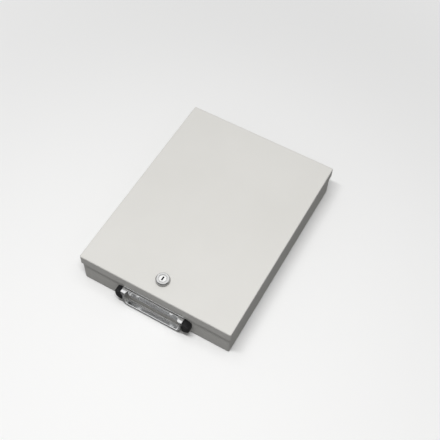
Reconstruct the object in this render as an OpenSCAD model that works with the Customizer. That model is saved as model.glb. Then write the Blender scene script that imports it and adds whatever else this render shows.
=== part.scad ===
// Lockable sheet-steel document box for A4 papers. A folded tray carries a lid on a continuous
// rear hinge, a cam lock sits in the lid, and a drop handle hangs on the front wall.
// +X is to the right, -Y is the front, +Z is up, and the origin is the middle of the base.

/* [Box] */
// Width over the lid
lid_w = 250; // [220:1:400]
// Depth over the lid, front to back
lid_d = 330; // [240:1:450]
// Height from the base to the top of the lid
box_h = 60; // [55:1:120]
// Thickness of the sheet steel
sheet = 1; // [0.7:0.1:1.5]
// Inside radius of the folds
fold_r = 1; // [0.6:0.1:2]
// Flat that is left between a fold and an upright corner
corner_land = 0.5; // [0.2:0.1:4]
// Depth of the lid's skirt
skirt_h = 18; // [14:0.5:22]
// Gap between the lid's skirt and the tray's wall
lid_gap = 0.8; // [0.7:0.1:1.2]
// Gap between the lid's panel and the tray's rim
seat_gap = 0.2; // [0.1:0.05:0.5]
// Width of the tray's inward rim
rim_w = 8; // [6:0.5:10]
// Width of the mitre slit in each corner of the rim
mitre_w = 0.4; // [0.2:0.1:1]

/* [Hinge] */
// Length of the hinge
hinge_len = 230; // [120:1:235]
// Number of knuckles, an odd count
knuckle_count = 11; // [5:2:21]
// Thickness of the leaves
leaf_t = 1; // [0.7:0.1:1.5]
// Height of each leaf from the pin's axis
leaf_h = 14; // [10:0.5:16]
// Diameter of the hinge pin
hinge_pin_d = 2.9; // [2:0.1:4]
// Radial play between the pin and a knuckle
hinge_play = 0.05; // [0.02:0.01:0.1]
// Gap between neighbouring knuckles, and between a knuckle and the other leaf
knuckle_gap = 0.3; // [0.2:0.05:0.6]
// Thickness of the pin's upset heads
hinge_head_t = 0.8; // [0.5:0.1:1.5]
// Angle of the slit where a knuckle's strip comes round
roll_slit = 60; // [50:1:75]

/* [Lock] */
// Distance from the lid's front to the lock's axis
lock_back = 26.5; // [25:0.5:45]
// Diameter of the collar
collar_d = 21; // [20:0.5:28]
// Height of the collar over the lid
collar_h = 6.5; // [5.5:0.5:9]
// Radius of the collar's top edge
collar_round = 2.5; // [0.5:0.1:3]
// Diameter of the housing's head inside the collar
head_d = 18; // [17:0.5:19]
// Height of the housing's head
head_h = 4; // [3:0.5:4.5]
// Diameter of the threaded barrel
barrel_d = 16; // [15:0.5:16.5]
// Width of the barrel across its two flats
barrel_flat = 14; // [13.5:0.1:14.5]
// Length of the barrel below the lid's top
barrel_len = 17; // [15:0.5:20]
// Diameter of the plug
plug_d = 11; // [10.5:0.1:11.2]
// Chamfer round the plug's face
plug_chamfer = 0.4; // [0.2:0.1:0.8]
// Depth of the plug's face below the collar's top
plug_sink = 0.3; // [0.2:0.1:0.6]
// Diameter of the housing's neck round the plug
neck_d = 12.6; // [12.4:0.1:13.5]
// Depth of the neck's face below the collar's top
neck_sink = 0.1; // [0.1:0.05:0.2]
// Width of the keyway
key_w = 2.3; // [1.5:0.1:3]
// Length of the keyway
key_l = 6.6; // [5:0.1:7.5]
// Depth of the keyway below the lid's top
key_deep = 9; // [8.5:0.5:10]
// Number of wafers
wafer_count = 5; // [3:1:5]
// Thickness of a wafer
wafer_t = 1; // [0.6:0.1:1.2]
// Width of a wafer
wafer_w = 6; // [4.5:0.5:6.5]
// Distance from one wafer to the next
wafer_pitch = 2.4; // [2:0.1:2.6]
// Play of the sliding and seated parts of the lock
lock_play = 0.05; // [0.02:0.01:0.1]
// Width across the flats of the fixing nut
nut_af = 20; // [19:0.5:22]
// Thickness of the fixing nut
nut_t = 4; // [3:0.5:5]
// Diameter of the toothed washer
star_d = 20; // [19:0.5:21]
// Thickness of the toothed washer
star_t = 0.8; // [0.5:0.1:1.2]
// Teeth on the toothed washer
star_teeth = 16; // [8:1:20]
// Width of the plug's square tail
tail_w = 7; // [6:0.1:7.2]
// Angle of the quarter turn
lock_angle = 90; // [60:1:120]
// Width of the stop washer's tab
stop_tab_w = 4; // [3:0.5:5]
// Thickness of the stop washer
stop_t = 1; // [0.6:0.1:1.5]
// Metal round the square hole of the stop washer
stop_land = 1.1; // [0.8:0.1:1.4]
// Gap between the stop washer and the ring round it
stop_gap = 0.2; // [0.1:0.05:0.4]
// Angle that the tab has to spare at each stop
stop_slack = 1; // [0.5:0.5:3]
// Width of the cam
cam_w = 12; // [11.5:0.5:16]
// Thickness of the cam
cam_t = 2; // [1.5:0.1:3]
// Gap between the cam's tip and the strike's upright
cam_tip_gap = 2.2; // [1.5:0.1:4]
// Diameter of the cam screw's head
cam_head_d = 8; // [7:0.5:10]
// Height of the cam screw's head
cam_head_h = 2.4; // [2:0.1:3]
// Diameter of the cam screw's shank
cam_screw_d = 3.9; // [3:0.1:4.2]
// Length of the cam screw's shank
cam_screw_l = 8; // [6:0.5:9]
// Thickness of the spring washer under the cam screw
spring_t = 1; // [0.6:0.1:1.5]
// Space left at the blind end of a screw's hole
screw_end_gap = 1; // [0.5:0.1:2]
// Length of the cross recess in a screw's head
recess_l = 4.4; // [3:0.1:5]
// Width of the recess
recess_w = 1; // [0.6:0.1:1.4]
// Depth of the recess
recess_deep = 1.3; // [0.8:0.1:1.6]

/* [Strike] */
// Thickness of the strike
strike_t = 1.5; // [1:0.1:2]
// Width of the strike's upright
strike_w = 72; // [66:1:90]
// Width of the lip that the cam catches under
lip_w = 32; // [20:1:50]
// Depth of the lip from the wall
lip_d = 12; // [10:0.5:13]
// Gap between the cam and the lip
lip_gap = 0.6; // [0.4:0.1:1.2]
// Depth of the upright below the rivets
strike_foot = 8; // [6:0.5:10]

/* [Handle] */
// Length over the end blocks
handle_len = 125; // [112:1:160]
// Drop from the lid's skirt to the bracket's top
bracket_drop = 5; // [3:0.5:8]
// Height of the bracket's back plate
bracket_h = 21; // [18:0.5:26]
// Thickness of the bracket
bracket_t = 1.2; // [0.8:0.1:2]
// Radius of the cheeks' rear corners
cheek_round = 2; // [2:0.1:3]
// Radius inside the corner of the back plate and the flange
bracket_fillet = 0.8; // [0.4:0.1:1.2]
// Depth of the top flange between the ears
flange_d = 4; // [3:0.1:6]
// Width of an ear
ear_w = 8; // [6.5:0.5:12]
// Part of the curve from the flange to an ear's front that is hollow, and not round
ear_hollow = 0.6; // [0.4:0.05:0.8]
// Fall of an ear's top from the flange to the ear's front
ear_fall = 0.7; // [0.1:0.05:1]
// Fall of an ear's underside over the same depth
ear_under = 0.3; // [0.1:0.05:0.35]
// Metal round the pivot pin in an ear
eye_wall = 1.65; // [1.2:0.05:3]
// Drop from the bracket's top to the pivot
pivot_drop = 8; // [7:0.5:10]
// Diameter of the pivot pins
pivot_d = 4; // [3:0.1:4.5]
// Radial play on the pivot pins
pivot_play = 0.05; // [0.02:0.01:0.1]
// Depth of a pivot pin in its block
pivot_in = 7; // [5:0.5:8]
// Diameter of a pivot pin's head
pivot_head_d = 6; // [5.5:0.5:7]
// Thickness of a pivot pin's head
pivot_head_t = 1; // [0.6:0.1:1.5]
// Thickness of the bail's strap
strap_t = 3; // [2:0.1:4]
// Width of the bail's strap
strap_w = 8; // [7:0.5:10]
// Radius of the strap's edges
strap_round = 1; // [0.3:0.1:1]
// Gap between the strap and the bracket's back plate
strap_gap = 1.6; // [1:0.1:3]
// Gap between the bail and the ears' cheeks, and the pins' heads
bail_gap = 0.3; // [0.2:0.05:0.6]
// Outside radius of the bail's bends
bail_r = 9; // [6:0.5:12]
// Height of the hanging bail over the base
bail_floor = 4.5; // [3:0.5:10]
// Angle at which the bail's heel meets the back plate
bail_swing = 100; // [90:1:110]
// Gap that is left at the heel
heel_gap = 0.15; // [0.1:0.05:0.4]
// Width of an end block
block_w = 11.5; // [10.5:0.5:16]
// Height of an end block
block_h = 22; // [21:0.5:25]
// Drop from the bracket's top to the blocks' top
block_drop = 4; // [2:0.5:4]
// Radius of a block's outer corners, seen from the front
block_r = 8; // [3:0.5:9]
// Radius of a block's front edges
block_nose = 3; // [1:0.5:3]
// Distance of each rivet from the middle
rivet_x = 28; // [24:1:32]
// Drop from the bracket's top to the rivets
rivet_drop = 11; // [9:0.5:13]
// Diameter of the rivets
rivet_d = 4; // [3:0.1:4.5]
// Diameter of a rivet's head
rivet_head_d = 7.5; // [6.5:0.5:9]
// Height of a rivet's head
rivet_head_h = 1.8; // [1:0.1:2.5]
// Diameter of a rivet's closed end
rivet_tail_d = 6; // [5.5:0.1:7]
// Height of a rivet's closed end
rivet_tail_h = 1.2; // [0.8:0.1:2]
// Drop from a block's top to its screw
screw_drop = 14; // [13:0.5:16]
// Diameter of the block screws
screw_d = 3.9; // [3:0.1:4.2]
// Depth of a screw in its block
screw_in = 7.5; // [5:0.5:8]
// Diameter of a screw's head
screw_head_d = 7.5; // [6.5:0.5:8]
// Height of a screw's head
screw_head_h = 2.2; // [1.5:0.1:3]
// Diameter of the washers under the block screws
disc_d = 9; // [8.5:0.5:11]
// Thickness of those washers
disc_t = 0.8; // [0.5:0.1:1.5]

/* [Hidden] */
$fn = 64;
paint = [0.73, 0.72, 0.69];
chrome = [0.82, 0.83, 0.84];
zinc = [0.66, 0.66, 0.64];
black_plastic = [0.06, 0.06, 0.06];
// Overlap of a cut past the face that it opens
cut = 1;

// Folds, tray and lid
fold_out = fold_r + sheet;
corner_r = fold_out + corner_land;
tray_w = lid_w - 2 * (sheet + lid_gap);
tray_d = lid_d - 2 * (sheet + lid_gap);
tray_h = box_h - sheet - seat_gap;
skirt_z = box_h - skirt_h;
wall_y = tray_d / 2;

// Hinge, with its axis just under the skirt and its lid leaf flat on the skirt
hinge_bore_r = hinge_pin_d / 2 + hinge_play;
knuckle_r = hinge_bore_r + leaf_t;
knuckle_pitch = hinge_len / knuckle_count;
hinge_clear = knuckle_r + knuckle_gap;
hinge_y = lid_d / 2 + knuckle_r;
hinge_z = skirt_z - hinge_clear;
leaf_step = hinge_y - knuckle_r - wall_y;

// Lock, whose heights are counted from the lid's top
lock_y = lock_back - lid_d / 2;
plug_bore_r = plug_d / 2 + lock_play;
barrel_r = barrel_d / 2;
stop_top = -barrel_len - lock_play;
cam_top = stop_top - stop_t;
cam_low = cam_top - cam_t;
tail_low = cam_low + lock_play;
spring_low = cam_low - spring_t;
stop_disc_r = tail_w * sqrt(2) / 2 + stop_land;
stop_tab_r = barrel_r - stop_gap;
stop_ring_r = stop_disc_r + stop_gap;
stop_side = asin(stop_tab_w / 2 / stop_ring_r) + stop_slack;
wafer_top = head_h - 2 * wafer_t;
wafer_low = wafer_top - (wafer_count - 1) * wafer_pitch;

// Strike, set by the cam
lip_low = box_h + cam_top + lip_gap;
strike_out = sheet + strike_t;
cam_len = lock_back - lid_gap - sheet - strike_out - cam_tip_gap;

// Handle, whose depths are counted outwards from the front wall
bracket_top = skirt_z - bracket_drop;
bracket_x = handle_len / 2 - block_w;
pivot_out = bracket_t + strap_gap + strap_w / 2;
pivot_z = bracket_top - pivot_drop;
pivot_r = pivot_d / 2;
eye_r = pivot_r + eye_wall;
ear_d = pivot_out + eye_r;
ear_curve = ear_d - flange_d;
bail_x = bracket_x - bracket_t - bail_gap;
heel_h = (pivot_out - bracket_t - heel_gap + strap_w / 2 * cos(bail_swing)) / sin(bail_swing);
rivet_z = bracket_top - rivet_drop;
block_top = bracket_top - block_drop;
screw_z = block_top - screw_drop;
screw_x = bracket_x + block_w / 2;

// Extrudes a profile from x0 to x1: its x becomes Y and its y becomes Z.
module along_x(x0, x1) {
    translate([x0, 0, 0])
        rotate([90, 0, 90])
            linear_extrude(x1 - x0) children();
}

// Extrudes a profile from y0 to y1: its x stays X and its y becomes Z.
module along_y(y0, y1) {
    translate([0, y1, 0])
        rotate([90, 0, 0])
            linear_extrude(y1 - y0) children();
}

// A round hole or rod along Y, from y0 to y1, at x and z.
module rod_y(x, z, r, y0, y1) {
    along_y(y0, y1) translate([x, z]) circle(r);
}

// Sets its children on the front wall, with their +Y pointing out of the box.
module on_front() {
    translate([0, -wall_y, 0]) mirror([0, 1, 0]) children();
}

// Sets its children, made for the right, on the left.
module on_left() {
    mirror([1, 0, 0]) children();
}

// Sets its children on the lock's axis, with their zero height at the lid's top.
module on_lock() {
    translate([0, lock_y, box_h]) children();
}

// A quarter of a fold, round the origin, that turns from +X to +Y.
module fold(outside, inside) {
    intersection() {
        difference() {
            circle(outside);
            circle(inside);
        }
        square(outside);
    }
}

// A quarter of a disc, round the origin, between +X and +Y.
module quarter(r) {
    intersection() {
        circle(r);
        square(r);
    }
}

// A rectangle from the origin to [w, h] whose two corners at x = w are round.
module d_shape(w, h, r) {
    square([w - r, h]);
    translate([0, r]) square([w, h - 2 * r]);
    for (y = [r, h - r]) translate([w - r, y]) intersection() {
        circle(r);
        translate([0, -r]) square([r, 2 * r]);
    }
}

// A low dome on the plane z = 0.
module dome(d, h) {
    r = (d * d / 4 + h * h) / (2 * h);
    rotate_extrude() intersection() {
        translate([0, h - r]) circle(r);
        square([d, h]);
    }
}

// A domed screw head on the plane z = 0, with a cross recess.
module pan_head(d, h) {
    difference() {
        union() {
            cylinder(d = d, h = h / 2);
            translate([0, 0, h / 2]) dome(d, h / 2);
        }
        for (a = [0, 90]) rotate(a) translate([-recess_l / 2, -recess_w / 2, h - recess_deep])
            cube([recess_l, recess_w, recess_deep + cut]);
    }
}

// Carries an upright profile round a rectangle of w by d with round corners. The profile's x is
// counted outwards from a corner's centre, and its y is the height.
module around(w, d) {
    for (k = [0 : 3]) {
        across = (k % 2 == 0 ? w : d) / 2 - corner_r;
        run = (k % 2 == 0 ? d : w) / 2 - corner_r;
        rotate(90 * k) {
            translate([across, 0, 0]) along_y(-run, run) children();
            translate([across, run, 0]) rotate_extrude(angle = 90) children();
        }
    }
}

// Lid: panel, fold and skirt.
module lid_profile() {
    translate([corner_r - sheet, skirt_z]) square([sheet, skirt_h - fold_out]);
    translate([corner_land, box_h - fold_out]) fold(fold_out, fold_r);
    translate([0, box_h - sheet]) square([corner_land, sheet]);
}

module lid() {
    panel = [lid_w - 2 * corner_r, lid_d - 2 * corner_r];
    color(paint) difference() {
        union() {
            around(lid_w, lid_d) lid_profile();
            translate([0, 0, box_h - sheet]) linear_extrude(sheet) square(panel, center = true);
        }
        on_lock() translate([0, 0, -sheet - cut])
            linear_extrude(sheet + 2 * cut) barrel_outline(2 * lock_play);
    }
}

// Tray: base, fold, wall, fold and inward rim.
module tray_profile() {
    square([corner_land, sheet]);
    translate([corner_land, fold_out]) mirror([0, 1]) fold(fold_out, fold_r);
    translate([corner_r - sheet, fold_out]) square([sheet, tray_h - 2 * fold_out]);
    translate([corner_land, tray_h - fold_out]) fold(fold_out, fold_r);
    translate([0, tray_h - sheet]) square([corner_land, sheet]);
}

module box_body() {
    panel = [tray_w - 2 * corner_r, tray_d - 2 * corner_r];
    mouth = [tray_w - 2 * rim_w, tray_d - 2 * rim_w];
    color(paint) difference() {
        union() {
            around(tray_w, tray_d) tray_profile();
            linear_extrude(sheet) square(panel, center = true);
            translate([0, 0, tray_h - sheet]) linear_extrude(sheet) difference() {
                square(panel, center = true);
                square(mouth, center = true);
            }
        }
        // The rim's mitres
        for (sx = [-1, 1], sy = [-1, 1])
            translate([sx * mouth.x / 2, sy * mouth.y / 2, tray_h - sheet / 2])
                rotate(atan2(sy, sx))
                    cube([2 * sqrt(2) * (rim_w - corner_r), mitre_w, 2 * sheet], center = true);
        // Holes for the handle's rivets and screws
        on_front() for (s = [-1, 1]) {
            rod_y(s * rivet_x, rivet_z, rivet_d / 2 + pivot_play, -sheet - cut, cut);
            rod_y(s * screw_x, screw_z, screw_d / 2 + pivot_play, -sheet - cut, cut);
        }
    }
}

// Strike: an angle behind the front wall, whose middle is folded in as a lip over the cam.
module strike() {
    low = rivet_z - strike_foot;
    top = lip_low + strike_t;
    bend_out = 2 * strike_t;
    shoulder = top - bend_out;
    color(zinc) on_front() difference() {
        union() {
            along_y(-strike_out, -sheet)
                translate([-strike_w / 2, low]) square([strike_w, shoulder - low]);
            along_x(-lip_w / 2, lip_w / 2) {
                translate([-sheet - bend_out, shoulder]) fold(bend_out, bend_out - strike_t);
                translate([-sheet - lip_d, lip_low]) square([lip_d - bend_out, strike_t]);
            }
        }
        for (s = [-1, 1])
            rod_y(s * rivet_x, rivet_z, rivet_d / 2 + pivot_play, -strike_out - cut, cut);
    }
}

// A strip that comes down to the pin on its left and is rolled round it, up to the slit.
module roll() {
    far = 2 * knuckle_r;
    difference() {
        circle(knuckle_r);
        circle(hinge_bore_r);
        polygon([[0, 0], far * [-cos(roll_slit), sin(roll_slit)], [-far, far], [-far, 0]]);
    }
    translate([-knuckle_r, 0]) square([leaf_t, hinge_clear]);
}

// Hinge: rolled knuckles, every other one on the lid's leaf.
module knuckles(first) {
    for (k = [first : 2 : knuckle_count - 1]) {
        start = -hinge_len / 2 + k * knuckle_pitch + knuckle_gap / 2;
        along_x(start, start + knuckle_pitch - knuckle_gap) children();
    }
}

module hinge_leaf_lid() {
    color(paint) translate([0, hinge_y, hinge_z]) {
        along_x(-hinge_len / 2, hinge_len / 2)
            translate([-knuckle_r, hinge_clear]) square([leaf_t, leaf_h - hinge_clear]);
        knuckles(1) roll();
    }
}

// The body's leaf steps in from the knuckles to the tray's wall.
module hinge_leaf_body() {
    outer = leaf_t - knuckle_r;
    step_low = -hinge_clear - leaf_step;
    color(paint) translate([0, hinge_y, hinge_z]) {
        along_x(-hinge_len / 2, hinge_len / 2) polygon([
            [-knuckle_r, -hinge_clear], [outer, -hinge_clear],
            [outer - leaf_step, step_low], [outer - leaf_step, -leaf_h],
            [-knuckle_r - leaf_step, -leaf_h], [-knuckle_r - leaf_step, step_low]
        ]);
        knuckles(0) mirror([0, 1]) roll();
    }
}

module hinge_pin() {
    end = hinge_len / 2 + hinge_head_t;
    color(zinc) translate([0, hinge_y, hinge_z]) {
        along_x(-end, end) circle(hinge_pin_d / 2);
        for (x = [-end, hinge_len / 2])
            along_x(x, x + hinge_head_t) circle((hinge_bore_r + knuckle_r) / 2);
    }
}

// Lock housing: head under the collar, neck round the plug, and a barrel with two flats.
module barrel_outline(play) {
    intersection() {
        circle(barrel_r + play);
        square([barrel_flat + 2 * play, 3 * barrel_r], center = true);
    }
}

module lock_collar() {
    r = collar_d / 2;
    color(chrome) on_lock() rotate_extrude() difference() {
        union() {
            square([r, collar_h - collar_round]);
            square([r - collar_round, collar_h]);
            translate([r - collar_round, collar_h - collar_round]) circle(collar_round);
        }
        square([neck_d / 2 + lock_play, collar_h + cut]);
        square([head_d / 2 + lock_play, head_h + lock_play]);
    }
}

module lock_housing() {
    groove = [wafer_w + 4 * lock_play, plug_d + 2 * wafer_t, head_h - wafer_t - wafer_low + 2 * wafer_t];
    stop_start = 90 + lock_angle / 2 + stop_side;
    color(zinc) on_lock() difference() {
        union() {
            cylinder(d = head_d, h = head_h);
            cylinder(d = neck_d, h = collar_h - neck_sink);
            translate([0, 0, -barrel_len]) linear_extrude(barrel_len) barrel_outline(0);
            // The ring that stops the washer's tab at both ends of its turn
            intersection() {
                translate([0, 0, -barrel_len - stop_t])
                    rotate(stop_start)
                        rotate_extrude(angle = 360 - lock_angle - 2 * stop_side)
                            translate([stop_ring_r, 0]) square([barrel_r - stop_ring_r, stop_t]);
                translate([0, 0, -barrel_len - stop_t]) linear_extrude(stop_t) barrel_outline(0);
            }
        }
        translate([0, 0, -barrel_len - stop_t - cut])
            cylinder(r = plug_bore_r, h = barrel_len + stop_t + collar_h + 2 * cut);
        translate([0, 0, (head_h - wafer_t + wafer_low - 2 * wafer_t) / 2]) cube(groove, center = true);
    }
}

module lock_washer() {
    color(zinc) on_lock() translate([0, 0, -sheet - star_t]) linear_extrude(star_t) difference() {
        circle(d = star_d);
        circle(barrel_r + 4 * lock_play);
        for (k = [0 : star_teeth - 1])
            rotate(360 / star_teeth * k) translate([star_d / 2, 0]) circle(star_d / star_teeth / 2);
    }
}

module lock_nut() {
    corner = nut_af / 2 / cos(30);
    bevel = (corner - nut_af / 2) * tan(30);
    color(zinc) on_lock() translate([0, 0, -sheet - star_t - nut_t]) difference() {
        intersection() {
            cylinder(r = corner, h = nut_t, $fn = 6);
            rotate_extrude() polygon([
                [0, 0], [nut_af / 2, 0], [corner, bevel],
                [corner, nut_t - bevel], [nut_af / 2, nut_t], [0, nut_t]
            ]);
        }
        translate([0, 0, -cut]) cylinder(r = barrel_r + lock_play, h = nut_t + 2 * cut);
    }
}

// Plug: keyway, wafer slots, square tail and the screw's hole.
module lock_plug() {
    slot = [wafer_w + 2 * lock_play, plug_d + cut, wafer_t + 2 * lock_play];
    rim = collar_h - plug_sink - plug_chamfer;
    color(chrome) on_lock() difference() {
        union() {
            translate([0, 0, -barrel_len]) cylinder(d = plug_d, h = barrel_len + rim);
            translate([0, 0, rim])
                cylinder(d1 = plug_d, d2 = plug_d - 2 * plug_chamfer, h = plug_chamfer);
            translate([0, 0, tail_low]) linear_extrude(-barrel_len - tail_low)
                square(tail_w, center = true);
        }
        translate([-key_w / 2, -key_l / 2, -key_deep]) cube([key_w, key_l, key_deep + collar_h + cut]);
        for (k = [0 : wafer_count - 1])
            translate([0, 0, wafer_top - k * wafer_pitch]) cube(slot, center = true);
        translate([0, 0, tail_low - cut])
            cylinder(d = cam_screw_d + 2 * lock_play, h = cam_screw_l + cut);
    }
}

module lock_wafers() {
    color("goldenrod") on_lock() for (k = [0 : wafer_count - 1])
        translate([0, 0, wafer_top - k * wafer_pitch - wafer_t / 2]) linear_extrude(wafer_t) difference() {
            intersection() {
                circle(plug_d / 2 - lock_play);
                square([wafer_w, plug_d], center = true);
            }
            square([key_w + 4 * lock_play, key_l + 4 * lock_play], center = true);
        }
}

// What turns on the plug's tail: stop washer, cam, spring washer and screw.
module tail_hole() {
    square(tail_w + 2 * lock_play, center = true);
}

module lock_stop_washer() {
    color(zinc) on_lock() translate([0, 0, cam_top]) linear_extrude(stop_t) difference() {
        union() {
            circle(stop_disc_r);
            rotate(90 + lock_angle / 2)
                translate([0, -stop_tab_w / 2]) square([stop_tab_r, stop_tab_w]);
        }
        tail_hole();
    }
}

module lock_cam() {
    color(zinc) on_lock() translate([0, 0, cam_low]) linear_extrude(cam_t) difference() {
        union() {
            circle(d = cam_w);
            translate([0, -cam_w / 2]) d_shape(cam_len, cam_w, cam_t);
        }
        tail_hole();
    }
}

module cam_washer() {
    color(zinc) on_lock() translate([0, 0, spring_low]) linear_extrude(spring_t) difference() {
        circle(d = cam_head_d);
        circle(d = cam_screw_d + 4 * lock_play);
        translate([0, -spring_t / 2]) square([cam_head_d, spring_t]);
    }
}

module cam_screw() {
    color(zinc) on_lock() {
        translate([0, 0, spring_low]) {
            mirror([0, 0, 1]) pan_head(cam_head_d, cam_head_h);
            cylinder(d = cam_screw_d, h = spring_t + tail_low - cam_low + cam_screw_l - screw_end_gap);
        }
    }
}

// Handle bracket: a back plate whose round edge stands over a top flange, with an ear and a cheek at
// each end.
module bracket_section() {
    translate([0, -bracket_h]) square([bracket_t, bracket_h]);
    translate([bracket_t / 2, 0]) circle(bracket_t / 2);
    translate([0, -bracket_t]) square([flange_d, bracket_t]);
    translate([bracket_t, -bracket_t - bracket_fillet]) difference() {
        square(bracket_fillet);
        translate([bracket_fillet, 0]) circle(bracket_fillet);
    }
}

// An ear seen from above: it curves out of the flange's edge to its full depth.
module ear_outline() {
    hollow = ear_hollow * ear_curve;
    round = ear_curve - hollow;
    side = bracket_x - ear_w;
    translate([side, flange_d - bracket_t]) square([ear_w, hollow + bracket_t]);
    translate([side + round, flange_d]) square([ear_w - round, ear_curve]);
    translate([side + round, ear_d - round]) circle(round);
    translate([side - hollow, flange_d]) difference() {
        square(hollow);
        translate([0, hollow]) circle(hollow);
    }
}

// An ear seen from the side: it slopes down to the front and thins a little.
module ear_section() {
    polygon([
        [flange_d - bracket_t, -bracket_t], [flange_d, -bracket_t], [ear_d, -bracket_t - ear_under],
        [ear_d, -ear_fall], [flange_d, 0], [flange_d - bracket_t, 0]
    ]);
}

// A cheek seen from the side: it hangs from the sloping ear and carries the pivot pin.
module cheek_outline() {
    difference() {
        union() {
            translate([0, -pivot_drop]) square([ear_d, pivot_drop - cheek_round]);
            translate([cheek_round, -cheek_round]) {
                circle(cheek_round);
                square([ear_d - cheek_round, cheek_round]);
            }
            translate([0, -pivot_drop - eye_r]) square([pivot_out, eye_r]);
            translate([pivot_out, -pivot_drop]) circle(eye_r);
        }
        translate([pivot_out, -pivot_drop]) circle(pivot_r + pivot_play);
        polygon([[flange_d, 0], [ear_d, -ear_fall], [ear_d, cut], [flange_d, cut]]);
    }
}

module handle_bracket() {
    color(chrome) on_front() translate([0, 0, bracket_top]) difference() {
        union() {
            along_x(-bracket_x, bracket_x) bracket_section();
            for (s = [0, 1]) mirror([s, 0, 0]) {
                intersection() {
                    translate([0, 0, -2 * bracket_t]) linear_extrude(3 * bracket_t) ear_outline();
                    along_x(0, bracket_x) ear_section();
                }
                along_x(bracket_x - bracket_t, bracket_x) cheek_outline();
            }
        }
        for (s = [-1, 1])
            rod_y(s * rivet_x, -rivet_drop, rivet_d / 2 + pivot_play, -cut, bracket_t + cut);
    }
}

module bracket_rivets() {
    color(chrome) on_front() for (s = [-1, 1]) {
        rod_y(s * rivet_x, rivet_z, rivet_d / 2, -strike_out, bracket_t);
        rod_y(s * rivet_x, rivet_z, rivet_tail_d / 2, -strike_out - rivet_tail_h, -strike_out);
        translate([s * rivet_x, bracket_t, rivet_z]) rotate([-90, 0, 0]) dome(rivet_head_d, rivet_head_h);
    }
}

// A D-shaped pad of height deep whose top edge is rounded, but not along x = 0.
module d_pad(w, h, r, deep, nose) {
    linear_extrude(deep - nose) d_shape(w, h, r);
    linear_extrude(deep) translate([0, nose]) d_shape(w - nose, h - 2 * nose, r - nose);
    translate([0, 0, deep - nose]) {
        along_y(r, h - r) translate([w - nose, 0]) quarter(nose);
        translate([0, h / 2, 0]) for (s = [0, 1]) mirror([0, s, 0]) {
            along_x(0, w - r) translate([h / 2 - nose, 0]) quarter(nose);
            translate([w - r, h / 2 - r, 0]) rotate_extrude(angle = 90)
                translate([r - nose, 0]) quarter(nose);
        }
    }
}

// End block: a moulded piece, round at its outer corners and its front edges.
module end_block() {
    color(black_plastic) on_front() difference() {
        translate([bracket_x, 0, block_top - block_h]) mirror([0, 1, -1])
            d_pad(block_w, block_h, block_r, ear_d, block_nose);
        along_x(bracket_x - cut, bracket_x + pivot_in)
            translate([pivot_out, pivot_z]) circle(pivot_r + pivot_play);
        rod_y(screw_x, screw_z, screw_d / 2 + pivot_play, -cut, screw_in);
    }
}

module handle_block_right() {
    end_block();
}

module handle_block_left() {
    on_left() end_block();
}

// Pivot pin: it turns in the bail's arm and is held in the cheek and the block.
module pivot_pin() {
    head_x = bail_x - strap_t - bail_gap;
    color(chrome) on_front() translate([0, pivot_out, pivot_z]) {
        along_x(head_x - pivot_head_t, head_x) circle(d = pivot_head_d);
        along_x(head_x, bracket_x + pivot_in) circle(pivot_r);
    }
}

module handle_pin_right() {
    pivot_pin();
}

module handle_pin_left() {
    on_left() pivot_pin();
}

module block_screws() {
    head = -sheet - disc_t;
    color(zinc) on_front() for (s = [-1, 1]) {
        rod_y(s * screw_x, screw_z, screw_d / 2, head, screw_in - screw_end_gap);
        translate([s * screw_x, head, screw_z]) rotate([90, 0, 0]) pan_head(screw_head_d, screw_head_h);
    }
}

module block_washers() {
    color(zinc) on_front() for (s = [-1, 1]) difference() {
        rod_y(s * screw_x, screw_z, disc_d / 2, -sheet - disc_t, -sheet);
        rod_y(s * screw_x, screw_z, screw_d / 2 + 2 * pivot_play, -sheet - disc_t - cut, -sheet + cut);
    }
}

// Bail: a strap with rounded edges, bent to a U. Its eyes are round at the back and square at the
// front, where the corner is the heel that stops the swing.
module strap_section() {
    half = strap_w / 2 - strap_round;
    translate([0, -half]) square([strap_t, 2 * half]);
    translate([strap_round, -strap_w / 2]) square([strap_t - 2 * strap_round, strap_w]);
    for (x = [strap_round, strap_t - strap_round], y = [-half, half]) translate([x, y]) circle(strap_round);
}

module bail_side() {
    bend_z = bail_floor + bail_r;
    bend_x = bail_x - bail_r;
    translate([bail_x - strap_t, 0, bend_z]) linear_extrude(pivot_z - bend_z) strap_section();
    translate([bend_x, 0, bend_z]) rotate([-90, 0, 0]) rotate_extrude(angle = 90)
        translate([bail_r - strap_t, 0]) strap_section();
    along_x(0, bend_x) translate([0, bail_floor]) mirror([1, -1]) strap_section();
    along_x(bail_x - strap_t, bail_x) translate([0, pivot_z]) {
        intersection() {
            circle(strap_w / 2);
            translate([-strap_w / 2, 0]) square([strap_w, strap_w]);
        }
        square([strap_w / 2, heel_h]);
    }
}

module handle_bail() {
    color(chrome) on_front() translate([0, pivot_out, 0]) difference() {
        for (s = [0, 1]) mirror([s, 0, 0]) bail_side();
        along_x(-bail_x - cut, bail_x + cut) translate([0, pivot_z]) circle(pivot_r + pivot_play);
    }
}

box_body();
strike();
hinge_leaf_body();
hinge_pin();
handle_bracket();
bracket_rivets();
handle_block_left();
handle_block_right();
handle_pin_left();
handle_pin_right();
block_screws();
block_washers();
handle_bail();
lid();
hinge_leaf_lid();
lock_collar();
lock_housing();
lock_washer();
lock_nut();
lock_plug();
lock_wafers();
lock_stop_washer();
lock_cam();
cam_washer();
cam_screw();
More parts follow.
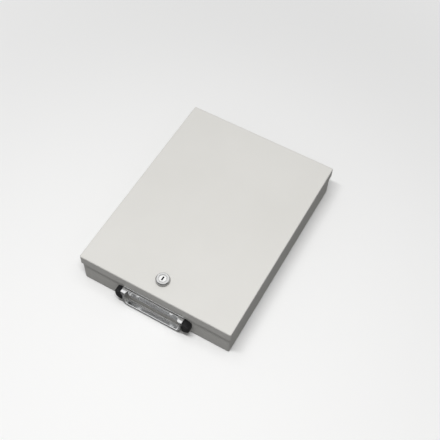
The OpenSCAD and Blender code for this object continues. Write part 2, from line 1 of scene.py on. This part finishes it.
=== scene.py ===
import bmesh
import bpy
import numpy as np
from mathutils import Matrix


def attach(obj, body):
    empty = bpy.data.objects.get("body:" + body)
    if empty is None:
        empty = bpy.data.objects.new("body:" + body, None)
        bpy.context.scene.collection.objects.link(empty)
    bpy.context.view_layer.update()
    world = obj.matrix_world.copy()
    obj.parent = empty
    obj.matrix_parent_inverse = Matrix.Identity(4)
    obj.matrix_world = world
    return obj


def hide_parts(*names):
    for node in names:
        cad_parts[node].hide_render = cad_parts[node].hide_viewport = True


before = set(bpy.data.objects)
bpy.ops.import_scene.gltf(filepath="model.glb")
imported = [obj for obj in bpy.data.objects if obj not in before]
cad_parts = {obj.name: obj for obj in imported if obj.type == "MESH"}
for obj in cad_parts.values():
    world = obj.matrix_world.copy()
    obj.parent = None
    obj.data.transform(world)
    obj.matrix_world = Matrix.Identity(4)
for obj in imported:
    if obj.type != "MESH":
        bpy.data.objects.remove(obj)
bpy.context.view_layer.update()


# Tray: one sheet of 1 mm steel, folded up at four sides and in again at the top as a rim, with its
# corners welded and dressed. It is powder coated in a warm light grey, inside and out.
def node(tree, kind, inputs, **settings):
    """Adds a shader node. Settings are its own options; inputs are values, or sockets to link from."""
    made = tree.nodes.new(kind)
    for key, value in settings.items():
        setattr(made, key, value)
    for key, value in inputs.items():
        if isinstance(value, bpy.types.NodeSocket):
            tree.links.new(value, made.inputs[key])
        else:
            made.inputs[key].default_value = value
    return made


def mixed_shade(tree, share, first, second):
    """A colour that goes from the first to the second as the share goes from 0 to 1. On the Mix node
    these are the inputs 0, 6 and 7, and the colour comes out at 2."""
    first, second = (c if isinstance(c, bpy.types.NodeSocket) else (*c, 1) for c in (first, second))
    return node(tree, "ShaderNodeMix", {0: share, 6: first, 7: second}, data_type="RGBA").outputs[2]


def effect(name, inputs, outputs):
    """Starts a shader group that has value inputs with these defaults, and value outputs."""
    tree = bpy.data.node_groups.new(name, "ShaderNodeTree")
    for key, value in inputs.items():
        socket = tree.interface.new_socket(key, in_out="INPUT", socket_type="NodeSocketFloat")
        socket.default_value = value
    for key in outputs:
        tree.interface.new_socket(key, in_out="OUTPUT", socket_type="NodeSocketFloat")
    return tree, tree.nodes.new("NodeGroupInput"), tree.nodes.new("NodeGroupOutput")


def grain_effect():
    """Grain and handling marks: Height is noise of Fine bumps a metre, Cloud is soft noise of Broad
    patches a metre, and both lie on Object coordinates."""
    tree, given, out = effect("grain", {"Fine": 1000.0, "Broad": 12.0}, ["Height", "Cloud"])
    place = tree.nodes.new("ShaderNodeTexCoord").outputs["Object"]
    fine = node(tree, "ShaderNodeTexNoise",
                {"Vector": place, "Scale": given.outputs["Fine"], "Detail": 2.0, "Roughness": 0.45})
    broad = node(tree, "ShaderNodeTexNoise",
                 {"Vector": place, "Scale": given.outputs["Broad"], "Detail": 4.0, "Roughness": 0.55})
    tree.links.new(fine.outputs["Fac"], out.inputs["Height"])
    tree.links.new(broad.outputs["Fac"], out.inputs["Cloud"])
    return tree


grain = grain_effect()


def new_finish(name, metal=0.0):
    """A material to build on, with its node tree and its shader. Metal is 1 for bare metal."""
    material = bpy.data.materials.new(name)
    material.use_nodes = True
    shader = material.node_tree.nodes["Principled BSDF"]
    shader.inputs["Metallic"].default_value = metal
    return material, material.node_tree, shader


def lay_on(tree, shader, shade, gloss, bump):
    """Feeds a shader its colour, its roughness and its relief."""
    tree.links.new(shade, shader.inputs["Base Color"])
    tree.links.new(gloss.outputs["Result"], shader.inputs["Roughness"])
    tree.links.new(bump.outputs["Normal"], shader.inputs["Normal"])


def grained(name, shades, fine, broad, rough, relief, metal=0.0):
    """A material with two close shades and a roughness that follow the grain's Cloud, and a bump of
    the given relief in metres that follows its Height."""
    material, tree, shader = new_finish(name, metal)
    marks = node(tree, "ShaderNodeGroup", {"Fine": fine, "Broad": broad}, node_tree=grain)
    spread = node(tree, "ShaderNodeMapRange",
                  {"Value": marks.outputs["Cloud"], "From Min": 0.3, "From Max": 0.7})
    shade = mixed_shade(tree, spread.outputs["Result"], *shades)
    gloss = node(tree, "ShaderNodeMapRange",
                 {"Value": spread.outputs["Result"], "To Min": rough[0], "To Max": rough[1]})
    bump = node(tree, "ShaderNodeBump",
                {"Height": marks.outputs["Height"], "Strength": 0.6, "Distance": relief})
    lay_on(tree, shader, shade, gloss, bump)
    return material


powder_coat = grained("powder_coat", [(0.715, 0.705, 0.672), (0.745, 0.735, 0.704)],
                      fine=1100, broad=7, rough=(0.42, 0.52), relief=0.00006)


def finish_with(piece, material):
    """Gives a piece this material all over."""
    piece.data.materials.clear()
    piece.data.materials.append(material)


finish_with(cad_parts["box_body"], powder_coat)


# Strike: an angle of 1.5 mm steel behind the front wall, pressed and zinc plated. The handle's two
# rivets hold it, and its lip is what the cam catches under.
zinc_plate = grained("zinc_plate", [(0.50, 0.51, 0.50), (0.62, 0.62, 0.60)],
                     fine=420, broad=85, rough=(0.26, 0.40), relief=0.00004, metal=1.0)


def shown(name, mesh, material, body):
    """Puts a mesh into the scene as a piece of this material that rides on a body."""
    piece = bpy.data.objects.new(name, mesh)
    bpy.context.scene.collection.objects.link(piece)
    finish_with(piece, material)
    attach(piece, body)
    return piece


merge_within, flat_within, crease = 2e-6, np.radians(0.6), np.radians(35)


def eased(name, cad_node, material, body, radius, clamp=True, cuts=()):
    """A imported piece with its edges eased: its triangles are merged, its flats made whole again, and
    each edge sharper than the crease is rounded by a bevel of this radius in metres. Without clamp it
    holds everywhere, also beside short edges. Cuts are places on X where the flats are parted, so that
    an edge which ends in line with a fold keeps its bevel between them."""
    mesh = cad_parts[cad_node].data.copy()
    for layer in [a for a in mesh.attributes if a.name == "custom_normal"]:
        mesh.attributes.remove(layer)
    work = bmesh.new()
    work.from_mesh(mesh)
    bmesh.ops.remove_doubles(work, verts=work.verts, dist=merge_within)
    bmesh.ops.dissolve_limit(work, angle_limit=flat_within, verts=work.verts, edges=work.edges)
    for x in cuts:
        whole = [*work.verts, *work.edges, *work.faces]
        bmesh.ops.bisect_plane(work, geom=whole, plane_co=(x, 0, 0), plane_no=(1, 0, 0))
    work.to_mesh(mesh)
    work.free()
    mesh.shade_smooth()
    mesh.set_sharp_from_angle(angle=crease)
    piece = shown(name, mesh, material, body)
    bevel = piece.modifiers.new("ease", "BEVEL")
    bevel.width = radius
    bevel.segments = 3
    bevel.use_clamp_overlap = clamp
    bevel.limit_method = "ANGLE"
    bevel.angle_limit = crease
    bevel.miter_outer = "MITER_ARC"
    weigh = piece.modifiers.new("flats", "WEIGHTED_NORMAL")
    weigh.mode = "FACE_AREA"
    weigh.weight = 100
    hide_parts(cad_node)


eased("strike_plate", "strike", zinc_plate, "box", radius=0.0002)


# Hinge: two leaves of 1 mm strip, rolled into eleven knuckles on one plated pin with upset heads.
# Each leaf is spot welded, one to the tray's wall and one to the lid's skirt, and coated with them.
hinge_y, hinge_z, hinge_half = 0.1675, 0.0392, 0.115
knuckle_r, bore_r, leaf_t = 0.0025, 0.0015, 0.001
knuckle_count, knuckle_gap = 11, 0.0003
knuckle_pitch = 2 * hinge_half / knuckle_count
roll_from, roll_to, roll_points = 180, 480, 40
leaf_clear, leaf_lap, leaf_step = 0.0028, 0.014, 0.0018
end_ease, end_draw, lap_round, lap_points = 0.00015, 0.00012, 0.00025, 5


def ring_cells(near, far):
    """Faces between two stacks of closed rings, whose points follow each other on the last axis."""
    return np.stack([near, np.roll(near, -1, -1), np.roll(far, -1, -1), far], -1).reshape(-1, 4)


def bars(outlines, xs):
    """Bars along X: a row of xs gives the stations of one bar, and at station j stands the j-th closed
    outline of (y, z) points. Returns the points, and faces that join the stations and close the ends."""
    outlines, xs = np.asarray(outlines), np.asarray(xs)
    points = np.empty((len(xs),) + outlines.shape[:2] + (3,))
    points[..., 0] = xs[:, :, None]
    points[..., 1:] = outlines
    index = np.arange(points[..., 0].size).reshape(points.shape[:3])
    return points.reshape(-1, 3), [ring_cells(index[:, :-1], index[:, 1:]), index[:, 0, ::-1], index[:, -1]]


def piece_of(name, parts, material, body, smooth=40):
    """One object from parts that each hold points and arrays of faces: doubles are merged, so that
    seams and poles close, faces turn outwards, and edges sharper than the angle stay crisp."""
    seam, sliver = 1e-6, 1e-7
    points, faces, base = [], [], 0
    for more, blocks in parts:
        points.append(more)
        for block in blocks:
            faces += (block + base).tolist()
        base += len(more)
    mesh = bpy.data.meshes.new(name)
    mesh.from_pydata(np.concatenate(points).tolist(), [], faces)
    work = bmesh.new()
    work.from_mesh(mesh)
    bmesh.ops.remove_doubles(work, verts=work.verts, dist=seam)
    bmesh.ops.dissolve_degenerate(work, edges=work.edges, dist=sliver)
    bmesh.ops.recalc_face_normals(work, faces=work.faces)
    work.to_mesh(mesh)
    work.free()
    mesh.shade_smooth()
    mesh.set_sharp_from_angle(angle=np.radians(smooth))
    return shown(name, mesh, material, body)


def rolled(strip, turn, inset):
    """Outline of a strip rolled into a knuckle: out along the outer arc, from the strip round to 60
    degrees short of it, and back along the inner arc. Turn is 1 for a roll from above, -1 from below,
    and the inset takes a little off both arcs."""
    sweep = np.radians(np.linspace(roll_from, roll_to, roll_points)) * turn
    ring = np.stack([np.cos(sweep), np.sin(sweep)], 1)
    front, back = np.array(strip) + ((inset, 0), (-inset, 0))
    arcs = [ring * (knuckle_r - inset), ring[::-1] * (bore_r + inset)]
    return np.concatenate([front[None], *arcs, back[None]]) + (hinge_y, hinge_z)


def stations(start, end):
    """Four stations of a bar, so that both its ends can be eased."""
    return np.stack([start, start + end_ease, end - end_ease, end], -1)


def knuckles(first):
    """Stations along X of every second knuckle."""
    start = -hinge_half + np.arange(first, knuckle_count, 2) * knuckle_pitch + knuckle_gap / 2
    return stations(start, start + knuckle_pitch - knuckle_gap)


def eased_ends(outline):
    """The same outline at four stations, drawn in about its middle at the first and last."""
    small, whole = outline(end_draw), outline(0.0)
    return [small, whole, whole, small]


def plate(corners):
    """Makes the outline of a flat or stepped plate a function of its inset: corners stand in pairs,
    front and back, and move towards each other, and the ends of the plate move in."""
    def outline(inset):
        front, back = np.array(corners[0], float), np.array(corners[1], float)
        front[:, 0] += inset
        back[:, 0] -= inset
        front[-1, 1] -= inset * np.sign(front[-1, 1])
        back[-1, 1] -= inset * np.sign(back[-1, 1])
        return np.concatenate([front, back[::-1]]) + (hinge_y, hinge_z)
    return outline


def rounded_lap(front, sign):
    """The last points of a strip's front or back, counted from that side, where the far edge follows a
    quarter of a circle."""
    a = np.radians(np.linspace(0, 90, lap_points))
    inward = (1 if front else -1) * lap_round * (1 - np.cos(a))
    return np.stack([inward, sign * (leaf_lap - lap_round * (1 - np.sin(a)))], 1)


outer, inner = -knuckle_r, leaf_t - knuckle_r
full = stations(np.array([-hinge_half]), np.array([hinge_half]))
lid_front = np.concatenate([[(outer, leaf_clear)], rounded_lap(True, 1) + (outer, 0)])
lid_back = np.concatenate([[(inner, leaf_clear)], rounded_lap(False, 1) + (inner, 0)])
lid_strip = ((outer, leaf_clear), (inner, leaf_clear))
lid_leaf = piece_of("hinge_leaf_on_lid", [
    bars(eased_ends(plate((lid_front, lid_back))), full),
    bars(eased_ends(lambda inset: rolled(lid_strip, 1, inset)), knuckles(1)),
], powder_coat, "lid")
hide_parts("hinge_leaf_lid")

bend = [(0, -leaf_clear), (-leaf_step, -leaf_clear - leaf_step)]
tray_front = np.concatenate([bend, rounded_lap(True, -1) - (leaf_step, 0)]) + (outer, 0)
tray_back = np.concatenate([bend, rounded_lap(False, -1) - (leaf_step, 0)]) + (inner, 0)
tray_strip = ((outer, -leaf_clear), (inner, -leaf_clear))
tray_leaf = piece_of("hinge_leaf_on_tray", [
    bars(eased_ends(plate((tray_front, tray_back))), full),
    bars(eased_ends(lambda inset: rolled(tray_strip, -1, inset)), knuckles(0)),
], powder_coat, "box")
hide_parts("hinge_leaf_body")

weld_r, weld_ring, weld_band, weld_proud = 0.0026, 0.0017, 0.00045, 0.00012
weld_skin, weld_deep, weld_rings, weld_spokes = 0.00001, 0.00005, 14, 24
weld_rise, weld_reach, weld_count = 0.0095, 0.1045, 11
weld_x = np.linspace(-weld_reach, weld_reach, weld_count)


def weld_marks(xs, y, z):
    """Spot welds on a face that looks to +Y, as flat closed lenses: at radius q the skin stands proud by
    weld_skin + weld_proud e^(-((q - weld_ring) / weld_band)^2), a low ring round the electrode's print,
    and the back lies weld_deep in the face."""
    q = np.linspace(0.0, weld_r, weld_rings)
    skin = weld_skin + weld_proud * np.exp(-((q - weld_ring) / weld_band) ** 2)
    radius = np.concatenate([q, q[::-1]])
    height = np.concatenate([skin, np.full(weld_rings, -weld_deep)])
    angle = np.linspace(0, 2 * np.pi, weld_spokes + 1)[:-1]
    grid = np.empty((len(xs), 2 * weld_rings, weld_spokes, 3))
    grid[..., 0] = xs[:, None, None] + radius[:, None] * np.cos(angle)
    grid[..., 1] = y + height[:, None]
    grid[..., 2] = z + radius[:, None] * np.sin(angle)
    index = np.arange(grid[..., 0].size).reshape(grid.shape[:3])
    return grid.reshape(-1, 3), [ring_cells(index[:, :-1], index[:, 1:])]


lid_welds = weld_marks(weld_x, hinge_y + inner, hinge_z + weld_rise)
tray_welds = weld_marks(weld_x, hinge_y + inner - leaf_step, hinge_z - weld_rise)
piece_of("lid_leaf_welds", [lid_welds], powder_coat, "lid")
piece_of("tray_leaf_welds", [tray_welds], powder_coat, "box")
finish_with(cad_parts["hinge_pin"], zinc_plate)


# Handle bracket: a pressed steel plate with a folded flange and two ears, polished and chromed.
# Two domed rivets, a little duller, pass through it, the tray's wall and the strike.
def hairline_effect():
    """Polishing lines: Lines is noise stretched along X, with Count lines a metre across it."""
    tree, given, out = effect("hairlines", {"Count": 1500.0}, ["Lines"])
    place = tree.nodes.new("ShaderNodeTexCoord").outputs["Object"]
    drawn = node(tree, "ShaderNodeMapping", {"Vector": place, "Scale": (0.03, 1.0, 1.0)})
    lines = node(tree, "ShaderNodeTexNoise",
                 {"Vector": drawn.outputs["Vector"], "Scale": given.outputs["Count"], "Detail": 3.0})
    tree.links.new(lines.outputs["Fac"], out.inputs["Lines"])
    return tree


hairlines = hairline_effect()


def polished(name, colour, rough, count):
    """A bright plated finish: its shade clouds over by 8 percent in soft patches, and its roughness and
    a faint bump follow the polishing lines."""
    material, tree, shader = new_finish(name, metal=1.0)
    marks = node(tree, "ShaderNodeGroup", {"Count": count}, node_tree=hairlines)
    cloud = node(tree, "ShaderNodeGroup", {"Fine": 600.0, "Broad": 60.0}, node_tree=grain)
    shade = mixed_shade(tree, cloud.outputs["Cloud"], colour, [0.92 * c for c in colour])
    gloss = node(tree, "ShaderNodeMapRange", {"Value": marks.outputs["Lines"], "From Min": 0.35,
                                              "From Max": 0.7, "To Min": rough[0], "To Max": rough[1]})
    bump = node(tree, "ShaderNodeBump",
                {"Height": marks.outputs["Lines"], "Strength": 0.15, "Distance": 0.00001})
    lay_on(tree, shader, shade, gloss, bump)
    return material


chrome_plate = polished("chrome_plate", (0.88, 0.885, 0.89), rough=(0.12, 0.22), count=1500)
rivet_chrome = polished("rivet_chrome", (0.80, 0.805, 0.81), rough=(0.34, 0.44), count=1500)
flange_x = 0.039
eased("bracket_plate", "handle_bracket", chrome_plate, "box", radius=0.00036,
      clamp=False, cuts=(-flange_x, flange_x))
finish_with(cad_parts["bracket_rivets"], rivet_chrome)


# End blocks: two moulded black plastic caps beside the bracket, each held from inside by a screw and
# a washer. A steel pin in each carries the bail.
black_plastic = grained("black_plastic", [(0.010, 0.010, 0.011), (0.016, 0.016, 0.017)],
                        fine=2400, broad=40, rough=(0.36, 0.50), relief=0.00005)
black_plastic.node_tree.nodes["Principled BSDF"].inputs["Specular IOR Level"].default_value = 0.32
for side in ("left", "right"):
    finish_with(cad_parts["handle_block_" + side], black_plastic)
    finish_with(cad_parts["handle_pin_" + side], zinc_plate)
finish_with(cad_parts["block_screws"], zinc_plate)
finish_with(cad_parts["block_washers"], zinc_plate)


# Bail: a strap of 8 by 3 mm steel with rounded edges, bent to a U and chromed. Its eyes hang on the
# two pins, and its square heels stop on the bracket's plate.
finish_with(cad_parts["handle_bail"], chrome_plate)


# Lid: a folded cover of 1 mm steel with an 18 mm skirt that drops over the tray, coated like it.
# The upper hinge leaf is welded on the outside of its rear skirt, and it has one hole, for the lock.
finish_with(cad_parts["lid"], powder_coat)


# Lock collar: a turned metal ring with a rounded shoulder, chromed. It is pressed over the lock's
# head as a cap, and hides the hole in the lid.
lock_x, lock_y, lid_top = 0.0, -0.1385, 0.060


def turned(profile, steps=128, radius=None):
    """A closed ring of revolution about the lock's axis: the closed profile of (r, z) points, counted
    from the lid's top, at each angle a lies at (r cos a, r sin a, z). Radius may change r by z and a."""
    angle = np.linspace(0, 2 * np.pi, steps + 1)[:-1]
    r, z = (np.asarray(profile)[:, i, None] + 0 * angle for i in (0, 1))
    r = r if radius is None else radius(r, z, angle)
    points = np.stack([lock_x + r * np.cos(angle), lock_y + r * np.sin(angle), lid_top + z], -1)
    index = np.arange(r.size).reshape(r.shape)
    return points.reshape(-1, 3), [ring_cells(index, np.roll(index, -1, 0))]


def arc(centre, radius, start, end, count):
    """Points on a circle in the (r, z) plane, from a start to an end angle in degrees."""
    a = np.radians(np.linspace(start, end, count))
    return np.stack([centre[0] + radius * np.cos(a), centre[1] + radius * np.sin(a)], 1)


def rings_effect():
    """Turning marks round the lock's axis: Rings is a wave of the distance from the axis, with Pitch in
    metres from one ring to the next. Face is the mask for painted shade: it is 0 below the height Level,
    where the shade is painted, and 1 from Level + Blend."""
    tree, given, out = effect("rings", {"Pitch": 0.0003, "Level": 0.066, "Blend": 0.0002},
                              ["Rings", "Face"])
    place = tree.nodes.new("ShaderNodeTexCoord").outputs["Object"]
    spot = node(tree, "ShaderNodeVectorMath", {0: place, 1: (lock_x, lock_y, 0.0)}, operation="SUBTRACT")
    flat = node(tree, "ShaderNodeVectorMath", {0: spot.outputs[0], 1: (1, 1, 0)}, operation="MULTIPLY")
    away = node(tree, "ShaderNodeVectorMath", {0: flat.outputs[0]}, operation="LENGTH")
    count = node(tree, "ShaderNodeMath", {0: away.outputs["Value"], 1: given.outputs["Pitch"]},
                 operation="DIVIDE")
    wave = node(tree, "ShaderNodeMath", {0: count.outputs[0], 1: 1.0}, operation="PINGPONG")
    height = node(tree, "ShaderNodeSeparateXYZ", {0: place}).outputs["Z"]
    above = node(tree, "ShaderNodeMath", {0: height, 1: given.outputs["Level"]}, operation="SUBTRACT")
    part = node(tree, "ShaderNodeMath", {0: above.outputs[0], 1: given.outputs["Blend"]},
                operation="DIVIDE", use_clamp=True)
    tree.links.new(wave.outputs[0], out.inputs["Rings"])
    tree.links.new(part.outputs[0], out.inputs["Face"])
    return tree


rings = rings_effect()


def turned_metal(name, face, side, level, blend, rough):
    """Turned and plated metal: its own colour on the face above a level, and below it another colour
    that is painted shade, and turning marks as a faint bump that also moves the roughness."""
    material, tree, shader = new_finish(name, metal=1.0)
    marks = node(tree, "ShaderNodeGroup", {"Level": level, "Blend": blend}, node_tree=rings)
    shade = mixed_shade(tree, marks.outputs["Face"], side, face)
    gloss = node(tree, "ShaderNodeMapRange",
                 {"Value": marks.outputs["Rings"], "To Min": rough[0], "To Max": rough[1]})
    bump = node(tree, "ShaderNodeBump",
                {"Height": marks.outputs["Rings"], "Strength": 0.12, "Distance": 0.00002})
    lay_on(tree, shader, shade, gloss, bump)
    return material


# Painted shade: the collar's shoulder and side below the level take the dark side colour, and only the flat
# top above it keeps the chrome's own colour.
collar_chrome = turned_metal("collar_chrome", face=(0.70, 0.70, 0.695), side=(0.30, 0.30, 0.30),
                             level=0.0659, blend=0.0005, rough=(0.05, 0.11))
collar_in, collar_foot, collar_lift, foot_round = 0.0066, 0.0103, 0.00002, 0.0002
shoulder, shoulder_round, rim, rim_round = (0.0080, 0.0040), 0.0025, (0.0067, 0.0062), 0.0003
collar_outline = np.concatenate([
    [(collar_in, collar_lift), (collar_foot, collar_lift)],
    arc((collar_foot, foot_round), foot_round, -90, 0, 4),
    arc(shoulder, shoulder_round, 0, 84, 16),
    arc(rim, rim_round, 90, 180, 5),
    [(rim[0] - rim_round, rim[1] - rim_round)],
])
collar = piece_of("lock_collar_ring", [turned(collar_outline)], collar_chrome, "lid")
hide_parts("lock_collar")


# Lock housing: a die-cast body with a head under the collar, a neck round the plug and a threaded
# barrel with two flats. It drops through the lid, and a notched ring at its foot stops the turn.
barrel_r, barrel_low, barrel_top, barrel_points = 0.008, -0.017, -0.00005, 120
thread_pitch, thread_deep, thread_low, thread_top = 0.001, 0.0003, -0.0165, -0.0012
flat_half, core_r, plug_bore = 0.007, 0.006, 0.00555
head_r, head_h, neck_r = 0.009, 0.004, 0.0063
brow, brow_round, mouth, mouth_round = (0.0060, 0.0061), 0.0003, (0.00580, 0.00615), 0.00025


def within_flats(r, angle):
    """Radius r, cut down so that r cos a stays between the barrel's two flats."""
    least = 0.01
    return np.minimum(r, flat_half / np.maximum(np.abs(np.cos(angle)), least))


def threaded(r, z, angle):
    """Radius of the barrel: between the thread's ends r falls by thread_deep times a triangle wave of
    z / thread_pitch - a / (2 pi), and below the lid the flats cut all but the bore."""
    turn = np.mod(z / thread_pitch - angle / (2 * np.pi), 1.0)
    groove = thread_deep * np.abs(2 * turn - 1)
    within = (z < thread_top) & (z > thread_low)
    cut = np.where(np.isclose(r, barrel_r) & within, r - groove, r)
    return np.where((z < 0) & (r > core_r), within_flats(cut, angle), cut)


barrel_z = np.linspace(barrel_low, barrel_top, barrel_points)
housing_outline = np.concatenate([
    [(plug_bore, barrel_low)],
    np.stack([np.full(barrel_points, barrel_r), barrel_z], 1),
    [(head_r, 0.0), (head_r, head_h), (neck_r, head_h)],
    arc(brow, brow_round, 0, 90, 5),
    arc(mouth, mouth_round, 90, 180, 4),
])

# The stop ring is a square bar, carried round the axis from one angle in degrees to the other: its
# four edges are the inner and outer radius at the foot and at the top, and its two ends are closed.
stop_from, stop_to, stop_points, stop_in, stop_low = 158.0, 382.0, 57, 0.0061, -0.018
stop_angle = np.radians(np.linspace(stop_from, stop_to, stop_points))
stop_r = np.stack([np.full(stop_points, stop_in), within_flats(barrel_r, stop_angle)])
ring = np.empty((2, 2, stop_points, 3))
ring[..., 0] = lock_x + stop_r[:, None] * np.cos(stop_angle)
ring[..., 1] = lock_y + stop_r[:, None] * np.sin(stop_angle)
ring[..., 2] = lid_top + np.array([stop_low, barrel_low])[:, None]
loop = np.arange(4 * stop_points).reshape(2, 2, stop_points)[[0, 1, 1, 0], [0, 0, 1, 1]]
there = np.roll(loop, -1, 0)
walls = np.stack([loop[:, :-1], there[:, :-1], there[:, 1:], loop[:, 1:]], -1).reshape(-1, 4)
stop_ring = (ring.reshape(-1, 3), [walls, loop[None, :, 0], loop[None, ::-1, -1]])

bright_zinc = grained("bright_zinc", [(0.74, 0.745, 0.74), (0.79, 0.79, 0.785)],
                      fine=420, broad=85, rough=(0.20, 0.32), relief=0.00003, metal=1.0)
housing = piece_of("lock_barrel", [turned(housing_outline, radius=threaded), stop_ring],
                   bright_zinc, "lid", smooth=30)
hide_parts("lock_housing")
finish_with(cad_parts["lock_washer"], zinc_plate)
eased("lock_fixing_nut", "lock_nut", zinc_plate, "lid", radius=0.00015)


# Lock plug: a turned cylinder with a bright face and a broached keyway. Below the face, in the keyway
# and on its sides, it is painted almost black as shade. It has slots for five brass wafers, and a
# square tail for the cam.
plug_nickel = turned_metal("plug_nickel", face=(0.93, 0.93, 0.92), side=(0.012, 0.012, 0.012),
                           level=0.06560, blend=0.0002, rough=(0.06, 0.12))
finish_with(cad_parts["lock_plug"], plug_nickel)
brass = grained("brass", [(0.55, 0.40, 0.15), (0.62, 0.46, 0.19)],
                fine=700, broad=120, rough=(0.25, 0.38), relief=0.00003, metal=1.0)
finish_with(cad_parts["lock_wafers"], brass)


# Cam: a pressed and zinc plated steel arm on the plug's square tail. It sits between the stop washer
# and a split washer, and one screw in the tail holds all three.
finish_with(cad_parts["lock_stop_washer"], zinc_plate)
eased("cam_arm", "lock_cam", zinc_plate, "lock_core", radius=0.0002)
finish_with(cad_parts["cam_washer"], zinc_plate)
finish_with(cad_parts["cam_screw"], zinc_plate)


# Studio: a plain pale floor that runs into a white surround, a wide soft lamp overhead and a narrow
# one to the front of it, and dark, grey and white cards out of view that only bright metal mirrors.
def seen_rays(tree):
    """1 for rays from the camera and for those that a mirror or glass sends on, and 0 for the rest."""
    ray = tree.nodes.new("ShaderNodeLightPath")
    first = node(tree, "ShaderNodeMath",
                 {0: ray.outputs["Is Camera Ray"], 1: ray.outputs["Is Glossy Ray"]}, operation="ADD")
    return node(tree, "ShaderNodeMath", {0: first.outputs[0], 1: ray.outputs["Is Transmission Ray"]},
                operation="ADD", use_clamp=True).outputs[0]


def floor_material(pale, returned, mirrored, fade):
    """Pale to the eye, a darker grey in the light that it sends back up and in mirrors, and plain white
    further away: the white comes in smoothly between the two distances of fade, in metres."""
    material, tree, shader = new_finish("pale_floor")
    ray = tree.nodes.new("ShaderNodeLightPath")
    unseen = mixed_shade(tree, ray.outputs["Is Glossy Ray"], returned, mirrored)
    shade = mixed_shade(tree, ray.outputs["Is Camera Ray"], unseen, pale)
    tree.links.new(shade, shader.inputs["Base Color"])
    shader.inputs["Roughness"].default_value = 0.9
    shader.inputs["Specular IOR Level"].default_value = 0.0
    place = tree.nodes.new("ShaderNodeTexCoord").outputs["Object"]
    away = node(tree, "ShaderNodeVectorMath", {0: place}, operation="LENGTH").outputs["Value"]
    far = node(tree, "ShaderNodeMapRange", {"Value": away, "From Min": fade[0], "From Max": fade[1]},
               interpolation_type="SMOOTHSTEP")
    both = node(tree, "ShaderNodeMath", {0: far.outputs["Result"], 1: seen_rays(tree)},
                operation="MULTIPLY")
    glow = node(tree, "ShaderNodeEmission", {"Color": (1, 1, 1, 1), "Strength": 1.0})
    blend = node(tree, "ShaderNodeMixShader",
                 {0: both.outputs[0], 1: shader.outputs[0], 2: glow.outputs[0]})
    tree.links.new(blend.outputs[0], tree.nodes["Material Output"].inputs["Surface"])
    return material


def panel(name, corners, material):
    """A flat four-cornered sheet that belongs to the studio."""
    mesh = bpy.data.meshes.new(name)
    mesh.from_pydata(corners, [], [(0, 1, 2, 3)])
    mesh.materials.append(material)
    made = bpy.data.objects.new(name, mesh)
    bpy.context.scene.collection.objects.link(made)
    return made


pale_floor = floor_material(pale=(0.96, 0.96, 0.955), returned=(0.20, 0.20, 0.20),
                            mirrored=(0.15, 0.15, 0.15), fade=(0.35, 1.3))
panel("floor", [(-30, -30, 0), (30, -30, 0), (30, 30, 0), (-30, 30, 0)], pale_floor)

for name, grey, corners in (
    ("card_front", 0.02, [(-1.3, -1.5, 0.15), (1.3, -1.5, 0.15), (1.3, -1.5, 1.8), (-1.3, -1.5, 1.8)]),
    ("card_left", 0.02, [(-1.6, -1.0, 0.15), (-1.6, 0.6, 0.15), (-1.6, 0.6, 0.9), (-1.6, -1.0, 0.9)]),
    ("card_right", 0.03, [(1.6, -1.4, 0.15), (1.6, 0.2, 0.15), (1.6, 0.2, 1.8), (1.6, -1.4, 1.8)]),
    ("card_over", 0.13, [(-0.9, -0.9, 1.2), (1.2, -0.9, 1.2), (1.2, -0.52, 1.2), (-0.9, -0.52, 1.2)]),
    ("card_low", 1.0, [(-0.3, -0.25, 0.0), (0.3, -0.25, 0.0), (0.3, -0.25, 0.1), (-0.3, -0.25, 0.1)]),
):
    tone, _, shader = new_finish(name)
    shader.inputs["Base Color"].default_value = (0, 0, 0, 1)
    shader.inputs["Emission Color"].default_value = (grey, grey, grey, 1)
    shader.inputs["Emission Strength"].default_value = 1.0
    card = panel(name, corners, tone)
    card.visible_camera = False
    card.visible_diffuse = False
    card.visible_shadow = False

world = bpy.data.worlds.new("studio")
bpy.context.scene.world = world
world.use_nodes = True
sky = world.node_tree
sky.nodes.clear()
white = node(sky, "ShaderNodeBackground", {"Color": (1, 1, 1, 1), "Strength": 1.0})
fill = node(sky, "ShaderNodeBackground", {"Color": (1, 1, 1, 1), "Strength": 0.25})
around = node(sky, "ShaderNodeMixShader", {0: seen_rays(sky), 1: fill.outputs[0], 2: white.outputs[0]})
node(sky, "ShaderNodeOutputWorld", {"Surface": around.outputs[0]})

for name, place, size, energy in (
    ("overhead", (0.0, 0.04, 1.9), (1.5, 0.75), 7.7),
    ("key", (0.05, -0.45, 1.75), (1.0, 0.10), 17.8),
):
    light = bpy.data.lights.new(name, "AREA")
    light.shape = "RECTANGLE"
    light.size, light.size_y = size
    light.energy = energy
    lamp = bpy.data.objects.new(name, light)
    lamp.location = place
    lamp.visible_glossy = False
    bpy.context.scene.collection.objects.link(lamp)


# Camera: where the photograph was taken from, above the front right corner and looking down. Its
# place and its three directions were worked out from the edges of the box.
lens = bpy.data.cameras.new("camera")
lens.sensor_width = 36.0
lens.lens = 65.77
lens.clip_start = 0.01
lens.clip_end = 100.0
camera = bpy.data.objects.new("camera", lens)
right = np.array([0.87016, 0.49213, 0.02547])
ahead = np.array([-0.25028, 0.48586, -0.83744])
up = np.array([-0.42450, 0.72233, 0.54594])
turn = np.eye(4)
turn[:3, 0] = right
turn[:3, 1] = up
turn[:3, 2] = -ahead
turn[:3, 3] = (0.3190, -0.5900, 1.0625)
camera.matrix_world = turn.T.tolist()
bpy.context.scene.collection.objects.link(camera)
bpy.context.scene.camera = camera

bpy.context.scene.view_settings.view_transform = "Standard"
